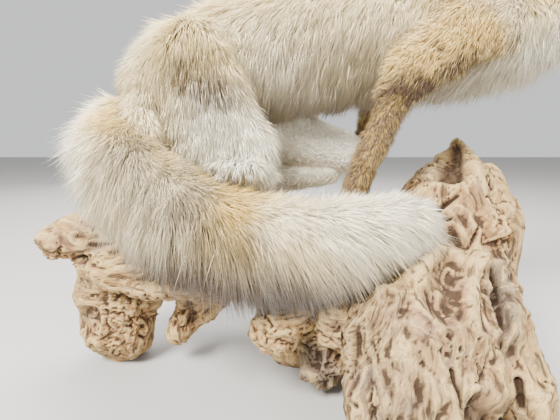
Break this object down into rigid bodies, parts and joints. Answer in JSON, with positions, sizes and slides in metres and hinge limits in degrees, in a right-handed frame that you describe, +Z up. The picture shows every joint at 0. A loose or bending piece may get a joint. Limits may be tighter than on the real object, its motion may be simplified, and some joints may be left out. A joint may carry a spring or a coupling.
{
  "type": "mounted red fox on driftwood",
  "caption": "Life-size taxidermy fox crouched on a driftwood root, brush wrapped round in front, head level; rests on the root's feet",
  "frame": {"origin": "on the flat under the driftwood's middle foot, at table height", "axes": "+X the way the fox faces, -Y its right side, +Z up"},
  "size_m": [0.7874, 0.3406, 0.5628],
  "materials": {
    "coat": "sun-faded fox fur, cream to ochre, dark brindle on the haunch and shoulder",
    "nose": "dark pebbled nose leather",
    "eyes": "amber glass taxidermy eyes with an upright pupil",
    "claws": "dark horn claws",
    "driftwood": "weathered, bleached root wood with dark crevices"
  },
  "bodies": {
    "root": {"trunk": "coat", "neck": "coat", "head": "coat", "ear_left": "coat", "ear_right": "coat", "nose": "nose", "eye_left": "eyes", "eye_right": "eyes", "foreleg_right_upper": "coat", "foreleg_right_lower": "coat", "forepaw_right": "coat", "foreleg_left_upper": "coat", "foreleg_left_lower": "coat", "forepaw_left": "coat", "hindleg_right_upper": "coat", "hindleg_right_lower": "coat", "hindpaw_right": "coat", "hindleg_left_upper": "coat", "hindleg_left_lower": "coat", "hindpaw_left": "coat", "tail_base": "coat", "tail_middle": "coat", "tail_tip": "coat", "driftwood": "driftwood"}
  },
  "joints": []
}
